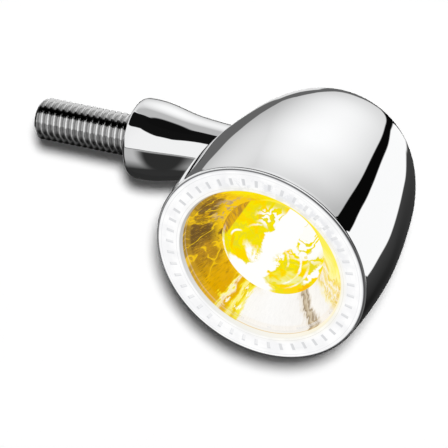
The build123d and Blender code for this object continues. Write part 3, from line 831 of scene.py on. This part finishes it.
# outlines of (x, radius): the rounded outer end, then the tapering flank
ARM_EDGE = [(0.0, 6.75), (0.33, 7.24), (1.25, 7.50)]
ARM_FLANK = [(1.25, 7.50), (5.0, 7.22), (10.0, 6.18), (15.0, 5.62), (20.0, 5.30), (26.0, 5.20)]
ARM_BORE, ARM_LENGTH = 4.0, 27.0
FLANK_END = 22.9                    # flank points beyond this x are left out


def build_arm():
    flank = [(radius, x) for x, radius in spline(ARM_FLANK, 12, start=(1.0, 0.02), end=(1.0, 0.0))
             if x < FLANK_END]
    edge = [(radius, x) for x, radius in spline(ARM_EDGE, 8, start=(0.12, 1.0), end=(1.0, 0.04))]
    profile = [(ARM_BORE, 0.0), (6.2, 0.0), (6.6, 0.0)] + edge[:-1] + flank
    # step down to the spigot in the shell's port
    profile += [(5.2, 23.0), (5.0, 23.0), (5.0, 26.8), (4.85, ARM_LENGTH),
                (ARM_BORE, ARM_LENGTH)]
    piece("arm_polished", lathe(profile, 288, stem_point, closed=True), chrome, "stem_arm",
          sharp=32)


# ================================================================ stud
THREAD_MAJOR, THREAD_MINOR, THREAD_PITCH = 3.94, 3.24, 1.25   # two radii and the pitch
THREAD_LENGTH = 20.0                # thread runs towards -X from x = 0
THREAD_LAND = 0.55                  # plain land between the thread and x = 0
THREAD_FADE = 0.7                   # length over which the thread gets shallow at the land
THREAD_CREST, THREAD_ROOT = 0.085, 0.375   # where the flank starts and ends, in pitches
THREAD_ROUND = 0.16                 # share of the height rounded at crest and root
STEPS_PER_PITCH, STUD_SEGMENTS = 26, 128
STUD_BORE = 2.25
HEX_FLAT = 4.6                      # centre to flat of the hexagon head
# plain part behind the thread: (x, radius)
STUD_PLAIN = [(-THREAD_LAND + 0.02, THREAD_MAJOR), (-0.12, THREAD_MAJOR), (-0.02, 3.86),
              (0.0, 3.70), (0.5, 3.70), (0.5, 3.05), (2.1, 3.05), (2.1, 3.95), (27.5, 3.95),
              (27.53, 3.95)]


def thread_height(turns):
    """Thread height 0..1 at a distance in pitches from a crest line."""
    off = abs(((turns + 0.5) % 1.0) - 0.5)
    flank = min(max((off - THREAD_CREST) / (THREAD_ROOT - THREAD_CREST), 0.0), 1.0)
    height = 1.0 - flank
    if height >= 1 - THREAD_ROUND:
        over = height - 1 + THREAD_ROUND
        return 1 - THREAD_ROUND + over * (1 - 0.5 * over / THREAD_ROUND)
    if height > THREAD_ROUND:
        return height
    return height + (THREAD_ROUND - height) ** 2 / (2 * THREAD_ROUND)


def build_stud():
    angles = [2 * math.pi * k / STUD_SEGMENTS for k in range(STUD_SEGMENTS)]

    def round_row(x, radius):
        return x, [radius] * STUD_SEGMENTS

    rows = [round_row(-THREAD_LENGTH + 6.0, STUD_BORE), round_row(-THREAD_LENGTH + 0.25, STUD_BORE),
            round_row(-THREAD_LENGTH, 2.5)]
    steps = int((THREAD_LENGTH - THREAD_LAND) / THREAD_PITCH * STEPS_PER_PITCH)
    for x in np.linspace(-THREAD_LENGTH, -THREAD_LAND, steps + 1):
        fade = min(max((-THREAD_LAND - x) / THREAD_FADE, 0.0), 1.0)
        tip_chamfer = max(0.0, 3.10 + (x + THREAD_LENGTH) * 1.05)
        radii = []
        for angle in angles:
            height = thread_height(x / THREAD_PITCH - angle / (2 * math.pi))
            height = 1 - (1 - height) * (0.35 + 0.65 * fade)
            radius = THREAD_MINOR + (THREAD_MAJOR - THREAD_MINOR) * height
            radii.append(min(radius, tip_chamfer))
        rows.append((x, radii))
    rows += [round_row(x, radius) for x, radius in STUD_PLAIN]
    hexagon = [HEX_FLAT / math.cos(((angle + math.pi / 6) % (math.pi / 3)) - math.pi / 6)
               for angle in angles]
    rows += [(27.53, hexagon), (29.6, hexagon), (30.0, [min(r, 4.75) - 0.12 for r in hexagon]),
             round_row(30.0, STUD_BORE), round_row(20.0, STUD_BORE)]
    verts = [stem_point(radius, x, angle)
             for x, radii in rows for radius, angle in zip(radii, angles)]
    piece("stud_rolled", (verts, closed_grid_faces(len(rows), STUD_SEGMENTS)), stud_steel,
          "threaded_stud", sharp=38, body="stud")


# ================================================================ ring, window, optics
NOTCH_COUNT = 45
NOTCH_PITCH = 360 / NOTCH_COUNT     # degrees
NOTCH_DEPTH = 0.25
NOTCH_HALF = 0.9                    # half width in degrees
NOTCH_RADII = (16.45, 17.75)
GROOVE_RADII, GROOVE_DEPTH = (18.70, 15.80), 0.035
# vertex columns around each notch, in degrees from its middle
NOTCH_COLUMNS = (-1.02, -0.86, 0.0, 0.86, 1.02, 2.3, 3.3, 4.0, 4.7, 5.7)
FACE_RADII = [18.95, 18.74, 18.70, 18.66, 18.2, 17.80, 17.70, 17.4, 17.1, 16.8, 16.50, 16.40,
              16.0, 15.84, 15.80, 15.76, 15.35]
# (radius, depth) on both sides of the face
RING_OUTSIDE = [(RING_OUTER, 3.5), (RING_OUTER, 0.52), (19.37, 0.33), (19.28, 0.14),
                (19.12, 0.03)]
RING_INSIDE = [(15.25, 0.05), (15.12, 0.20), (RING_INNER, 0.75), (RING_INNER, 3.5)]


def build_ring():
    columns = [i * NOTCH_PITCH + offset for i in range(NOTCH_COUNT) for offset in NOTCH_COLUMNS]
    half = NOTCH_PITCH / 2

    def face_depth(radius, degrees):
        off = abs(((degrees + half) % NOTCH_PITCH) - half)
        if off < NOTCH_HALF and NOTCH_RADII[0] < radius < NOTCH_RADII[1]:
            return NOTCH_DEPTH
        return GROOVE_DEPTH if radius in GROOVE_RADII else 0.0

    # a depth of None marks the patterned face
    rows = RING_OUTSIDE + [(radius, None) for radius in FACE_RADII] + RING_INSIDE
    verts = [head_point(radius, face_depth(radius, degrees) if depth is None else depth,
                        math.radians(degrees))
             for radius, depth in rows for degrees in columns]
    piece("ring_lit", (verts, closed_grid_faces(len(rows), len(columns))), ring_lit,
          "light_ring", sharp=22)


def build_window():
    crown = [(WINDOW_RADIUS * t, 0.05 + 0.30 * t * t) for t in np.linspace(0, 1, 16)]
    profile = crown[:-1] + [(14.78, 0.36), (WINDOW_RADIUS, 0.44), (WINDOW_RADIUS, 1.68),
                            (14.78, WINDOW_BACK), (7.0, WINDOW_BACK), (0.0, WINDOW_BACK)]
    piece("window_clear", lathe(profile, 192, head_point), window_clear, "front_lens",
          sharp=40)


# (radius, depth) of the bowl: inside, outside, and the flange round its mouth
BOWL_INSIDE = [(14.30, WINDOW_BACK), (13.05, 4.2), (11.60, 6.8), (9.90, 9.0), (7.60, 11.0),
               (3.60, 12.7)]
BOWL_OUTSIDE = [(4.30, 13.38), (8.20, 11.75), (10.55, 9.60), (12.25, 7.4)]
BOWL_FLANGE = [(12.25, 8.0), (18.5, 8.0), (18.5, 7.0), (14.82, 7.0), (14.82, 1.95),
               (14.89, WINDOW_BACK)]


def build_bowl():
    inside = spline(BOWL_INSIDE, 5)
    profile = inside + [(3.60, 13.38)] + spline(BOWL_OUTSIDE, 3) + BOWL_FLANGE
    last = len(inside) - 1

    def flutes(i, radius, depth, angle):
        """Cut flutes and facets into the inside, deepest at the bottom, fading at its ends."""
        if i == 0 or i >= last:
            return radius, depth
        fade = min(1.0, i / 3.0, (last - i) / 4.0)
        zone = 1.0 if 200 < math.degrees(angle) % 360 < 345 else 0.45
        flute = abs(math.sin(angle * 36)) * 0.16 * zone
        facet = 0.05 * math.sin(i * 1.4 + 3 * math.sin(angle * 5))
        return radius - (flute + facet) * fade, depth

    piece("bowl_metallised", lathe(profile, 720, head_point, closed=True, wobble=flutes),
          bowl_lit, "reflector_bowl", sharp=24)


# (radius, depth) of the centre optic: domed middle, outer face, then its body
OPTIC_MIDDLE = [(0.0, 2.25), (1.2, 2.30), (2.2, 2.44), (3.1, 2.68), (3.85, 3.00), (4.15, 3.22),
                (4.30, 3.36), (4.45, 3.30)]
OPTIC_OUTER = [(6.5, 3.66), (7.2, 3.95), (8.0, 4.32), (8.7, 4.68), (9.15, 4.93), (9.40, 5.10),
               (9.5, 5.28)]
OPTIC_BODY = [(9.5, 6.0), (9.25, 6.35), (8.10, 8.4), (6.0, 10.6), (3.3, 12.3), (3.3, 12.55),
              (2.1, 12.55), (2.1, 11.35), (1.2, 10.75), (0.0, 10.55)]
RIPPLE_START, RIPPLE_END, RIPPLE_HEIGHT = 4.6, 6.2, 0.045


def build_optic():
    ripples = []
    for k, radius in enumerate(np.linspace(RIPPLE_START, RIPPLE_END, 17)):
        slope = 3.16 + (radius - RIPPLE_START) * 0.28
        ripples.append((radius, slope + RIPPLE_HEIGHT * math.sin(k * math.pi / 2)))
    shape = lathe(OPTIC_MIDDLE + ripples + OPTIC_OUTER + OPTIC_BODY, 256, head_point)
    piece("optic_centre", shape, optic_lit, "centre_optic", sharp=35)


build_shell()
build_arm()
build_stud()
build_ring()
build_window()
build_bowl()
build_optic()


# ================================================================ studio
# Edges in the reflected room: (azimuth, elevation) in degrees.
# Azimuth is 0 at -Y, 90 at +X, 180 at +Y and 270 (or -90) at -X.
STRIPE_TOP = [(0, 26), (118, 23.6), (130, 20.8), (140, 17.6), (150, 12.7), (160, 6.8),
              (170, -0.8), (180, -10.3), (190, -18.8), (200, -26.5), (208, -32.0), (215, -42),
              (360, -60)]
STRIPE_BOTTOM = [(0, 0), (118, 4), (130, 6.0), (140, 6.3), (150, 3.6), (160, -0.2),
                 (170, -5.8), (180, -14.4), (188, -22.0), (192, -27.5), (196, -34.0),
                 (215, -48.2), (360, -60)]
DARK_TOP = [(0, -46), (118, -38), (130, -34), (140, -31.0), (150, -27), (160, -23.5),
            (166, -20.3), (173, -21.0), (180, -24), (190, -28.2), (200, -33), (215, -40),
            (240, -44), (360, -50)]
FAR_TOP = [(0, -70), (150, -70), (190, -66), (192.2, -40), (193.2, -13.2), (196, -11.5),
           (199, -10), (202, -6), (207, -2), (212, -6), (216, -3), (220, 0.5), (232, 2.5),
           (240, 3), (360, 3)]
BLACK_BOTTOM = [(-180, 75), (-140, 73), (-124, 70), (-120, 64), (-117.5, 46), (-116.5, 22),
                (-100, 20), (-91, 21.5), (-87, 26), (-80, 33), (-70, 40.5), (-60, 47),
                (-50, 51.5), (-40, 55.5), (-30, 57.5), (-12, 53), (0, 49), (60, 56), (180, 76)]


class Sky(Nodes):
    """Masks over directions; edges and softness are in degrees."""

    def above(self, value, edge, soft):
        return self.ease(self.mul_add(self.sub(value, edge), 1.0 / soft, 0.5, clamp=True))

    def below(self, value, edge, soft):
        return self.sub(1.0, self.above(value, edge, soft))

    def between(self, value, low, high, soft):
        return self.mul(self.above(value, low, soft), self.below(value, high, soft))

    def lay(self, base, mask, level):
        """Base where the mask is 0, level where it is 1."""
        return self.add(self.mul(mask, level), self.mul(self.sub(1.0, mask), base))

    def edge(self, azimuth, points, handle, start=0.0):
        """Elevation of an edge by azimuth; start is the azimuth where the table begins."""
        node = self.node("ShaderNodeFloatCurve")
        mapping = node.mapping
        mapping.use_clip = False
        knots = mapping.curves[0].points
        places = [((a - start) / 360.0, (e + 90.0) / 180.0) for a, e in points]
        knots[0].location = places[0]
        knots[1].location = places[-1]
        for place in places[1:-1]:
            knots.new(*place)
        for knot in knots:
            knot.handle_type = handle
        mapping.update()
        self.feed(node.inputs["Value"], self.div(azimuth, 360.0))
        return self.mul_add(node.outputs[0], 180.0, -90.0)

    def background(self, color, strength=1.0):
        return self.first("ShaderNodeBackground", Color=color, Strength=strength)


def rear_side(sky, az, el):
    """Level of the room behind the lamp, as the shell reflects it."""
    # pale panel: brightness falls off as a cubic on each side of azimuth 165, elevation 25
    side = sky.max(sky.min(sky.mul_add(az, 1 / 40.0, -165.0 / 40.0), 1.15), -1.25)
    rise = sky.max(sky.min(sky.mul_add(el, 1 / 30.0, -25.0 / 30.0), 1.30), -1.70)
    side_part = sky.mul_add(sky.mul_add(sky.mul_add(side, -0.090, -0.345), side, 0.350),
                            side, 0.948)
    rise_part = sky.mul(sky.mul_add(sky.mul_add(rise, -0.176, -0.316), rise, 0.121), rise)
    level = sky.min(sky.max(sky.add(side_part, rise_part), 0.50), 1.03)
    # white under a black stripe
    stripe_top = sky.edge(az, STRIPE_TOP, "AUTO")
    stripe_bottom = sky.edge(az, STRIPE_BOTTOM, "AUTO")
    level = sky.lay(level, sky.below(el, stripe_bottom, soft=0.9), 1.0)
    level = sky.lay(level, sky.between(el, stripe_bottom, stripe_top, soft=0.9), 0.0025)
    # dark floor, slightly lighter at its top edge
    dark_top = sky.edge(az, DARK_TOP, "AUTO")
    dark = sky.mul_add(sky.sub(el, dark_top), 0.0016, 0.052, clamp=True)
    level = sky.lay(level, sky.below(el, dark_top, soft=1.6), dark)
    # far side, towards -X: a grey area above the stripe
    far_top = sky.edge(az, FAR_TOP, "AUTO")
    over = sky.max(sky.above(el, stripe_top, soft=0.9), sky.above(az, 201.0, soft=3.0))
    area = sky.mul(sky.between(az, 192.6, 250.0, soft=0.8), sky.below(el, far_top, soft=1.2))
    level = sky.lay(level, sky.mul(over, area), 0.13)
    # a pale upright strip
    strip = sky.mul(sky.between(az, 204.0, 211.0, soft=1.0), sky.below(el, -14.0, soft=1.5))
    level = sky.lay(level, strip, 0.75)
    # a mid-grey field under a slanting seam, with dark below it
    seam = sky.mul_add(sky.sub(az, 210.0), 1.4615, -32.0)
    field = sky.mul(sky.below(el, sky.min(seam, -15.0), soft=1.5),
                    sky.above(el, -37.5, soft=2.0))
    level = sky.lay(level, sky.mul(sky.between(az, 211.5, 250.0, soft=1.0), field), 0.60)
    floor = sky.mul(sky.above(az, 203.0, soft=6.0), sky.below(el, -37.5, soft=2.0))
    level = sky.lay(level, floor, 0.026)
    # the seam itself, a black line
    line = sky.between(el, sky.sub(seam, 1.8), sky.add(seam, 1.8), soft=0.8)
    return sky.lay(level, sky.mul(sky.between(az, 208.5, 223.0, soft=1.0), line), 0.008)


def left_side(sky, az, el):
    """Level of the room's -X and front side; az here is 0 at +Y, 90 at -X, 180 at -Y."""
    # brighter towards the front
    level = sky.mul_add(sky.above(az, 62.0, soft=60.0), 0.16, 0.715)
    level = sky.add(level, sky.mul(sky.above(az, 150.0, soft=30.0), 0.045))
    # a thin dark line along the horizon, then mid grey that fades to dark further down
    horizon = sky.mul_add(sky.sub(az, 150.0), 0.21, 0.0)
    horizon = sky.min(sky.max(horizon, -6.5), 3.5)
    level = sky.lay(level, sky.below(el, sky.sub(horizon, 0.6), soft=0.8), 0.50)
    level = sky.lay(level, sky.between(el, sky.sub(horizon, 1.5), horizon, soft=0.6), 0.12)
    low_grey = sky.mul_add(sky.linear(el, off=-56.0, on=-32.0), 0.40, 0.030)
    level = sky.lay(level, sky.below(el, -28.0, soft=20.0), low_grey)
    # dark at the rear left below the horizon, with a lighter patch, and dark in front
    rear = sky.mul(sky.below(az, 115.0, soft=7.0), sky.below(el, -4.0, soft=6.0))
    level = sky.lay(level, rear, 0.026)
    patch = sky.mul(sky.between(az, 84.0, 118.0, soft=12.0),
                    sky.between(el, -48.0, -41.5, soft=5.0))
    level = sky.lay(level, patch, 0.13)
    front = sky.mul(sky.above(az, 165.0, soft=13.0), sky.below(el, -0.5, soft=6.0))
    level = sky.lay(level, front, 0.027)
    # black overhead
    black_bottom = sky.edge(az, BLACK_BOTTOM, "VECTOR", start=-180.0)
    return sky.lay(level, sky.above(el, black_bottom, soft=1.6), 0.006)


def right_side(sky, az, el):
    """Level of the room at the front right: pale above dark, with a black flag."""
    level = sky.mul_add(sky.above(el, 2.0, soft=6.0), 0.82, 0.14)
    # the flag draws the dark line along the rounded lip
    flag = sky.mul(sky.above(az, 58.0, soft=8.0), sky.above(el, -4.0, soft=6.0))
    return sky.lay(level, flag, 0.004)


def build_world():
    world = bpy.data.worlds.new("studio")
    bpy.context.scene.world = world
    sky = Sky(world, "ShaderNodeOutputWorld")
    x, y, z = sky.split(sky.coords("Generated"))
    az = sky.wrap(sky.degrees(x, sky.mul(y, -1.0)), 360.0)
    el = sky.math("DEGREES", sky.math("ARCSINE", z))
    level = sky.lay(left_side(sky, sky.wrap(az, 180.0), el),
                    sky.between(az, 112.0, 238.0, soft=6.0), rear_side(sky, az, el))
    level = sky.lay(level, sky.between(az, 8.0, 120.0, soft=10.0), right_side(sky, az, el))
    # black straight above
    level = sky.lay(level, sky.above(el, 76.0, soft=5.0), 0.005)
    # reflections see the room, diffuse surfaces a dim fill, the camera plain white
    rays = sky.node("ShaderNodeLightPath").outputs
    room = sky.background(sky.vector(level, level, level))
    fill = sky.background((1, 1, 1), strength=0.028)
    shader = sky.mix_shader(rays["Is Diffuse Ray"], room, fill)
    sky.done(sky.mix_shader(rays["Is Camera Ray"], shader, sky.background((1, 1, 1))))


build_world()

# ---------------------------------------------------------------- camera
# rows: the camera's right, its up, and the direction from the lamp to it
CAMERA_ROWS = np.array([[0.9062, 0.4173, -0.0685], [-0.1899, 0.5461, 0.8159],
                        [0.3779, -0.7264, 0.5741]])
CAMERA_DISTANCE = 600.0
CAMERA_PIVOT = np.array([HEAD_X, FRONT_Y + 14.0, 0.0])
CAMERA_SHIFT = (-11.92, -0.50)      # from the pivot, along right and up
CAMERA_LENS, CAMERA_SENSOR = 275.255357, 36.0

# make the rows exactly square to each other
turn_out, _, turn_in = np.linalg.svd(CAMERA_ROWS)
camera_axes = turn_out @ turn_in
camera_place = CAMERA_PIVOT + camera_axes.T @ np.array([*CAMERA_SHIFT, CAMERA_DISTANCE])
scene = bpy.context.scene


def build_camera():
    lens = bpy.data.cameras.new("camera")
    lens.sensor_width = CAMERA_SENSOR
    lens.lens = CAMERA_LENS
    lens.clip_start = 0.01
    lens.clip_end = 20.0
    camera = bpy.data.objects.new("camera", lens)
    scene.collection.objects.link(camera)
    camera.matrix_world = (Matrix.Translation((camera_place * MM).tolist())
                           @ Matrix(camera_axes.T.tolist()).to_4x4())
    scene.camera = camera


build_camera()
scene.view_settings.view_transform = "Standard"
scene.view_settings.look = "None"
scene.view_settings.exposure = 0.0
scene.view_settings.gamma = 1.0


# ---------------------------------------------------------------- floor and key lights
# metres, except the power in watts
FLOOR_HALF, FLOOR_BEHIND = 0.6, 0.120
KEY_POWER = 26.0                    # shared equally by the lights
KEY_RADII = (0.0090, 0.0130)
KEY_BACK, KEY_RISE, KEY_SIDE = 0.100, 0.0160, 0.0050   # from the camera
right, up, toward = (Vector(row) for row in camera_axes)


def floor_material(name):
    """Pale from the front, clear from behind."""
    mat = new_material(name)
    grain = mat.noise(mat.coords(), scale=40.0, detail=4.0)
    pale = mat.first("ShaderNodeBsdfDiffuse",
                     Color=mat.mix(grain, (0.985, 0.985, 0.985), (1.0, 1.0, 1.0)))
    backfacing = mat.node("ShaderNodeNewGeometry").outputs["Backfacing"]
    return mat.done(mat.mix_shader(backfacing, pale, mat.first("ShaderNodeBsdfTransparent")))


def build_floor():
    """A square behind the lamp, parallel to the picture."""
    centre = Vector((HEAD_X * 0.55, -8, 0)) * MM - toward * FLOOR_BEHIND
    corners = [centre + right * (x * FLOOR_HALF) + up * (y * FLOOR_HALF)
               for x, y in ((-1, -1), (1, -1), (1, 1), (-1, 1))]
    mesh = bpy.data.meshes.new("pale_floor")
    mesh.from_pydata([tuple(c) for c in corners], [], [(0, 1, 2, 3)])
    floor = bpy.data.objects.new("pale_floor", mesh)
    scene.collection.objects.link(floor)
    mesh.materials.append(floor_material("pale_floor"))
    floor.visible_glossy = False
    floor.visible_diffuse = False
    floor.visible_transmission = False


def build_keys():
    """Round soft lights near the camera's line, so the shadow stays close to the outline."""
    for i, radius in enumerate(KEY_RADII):
        light = bpy.data.lights.new("key_%d" % i, "POINT")
        light.energy = KEY_POWER / len(KEY_RADII)
        light.shadow_soft_size = radius
        key = bpy.data.objects.new("key_%d" % i, light)
        scene.collection.objects.link(key)
        key.location = (Vector(camera_place) * MM + toward * KEY_BACK + up * KEY_RISE
                        + right * KEY_SIDE)
        key.visible_glossy = False


build_floor()
build_keys()
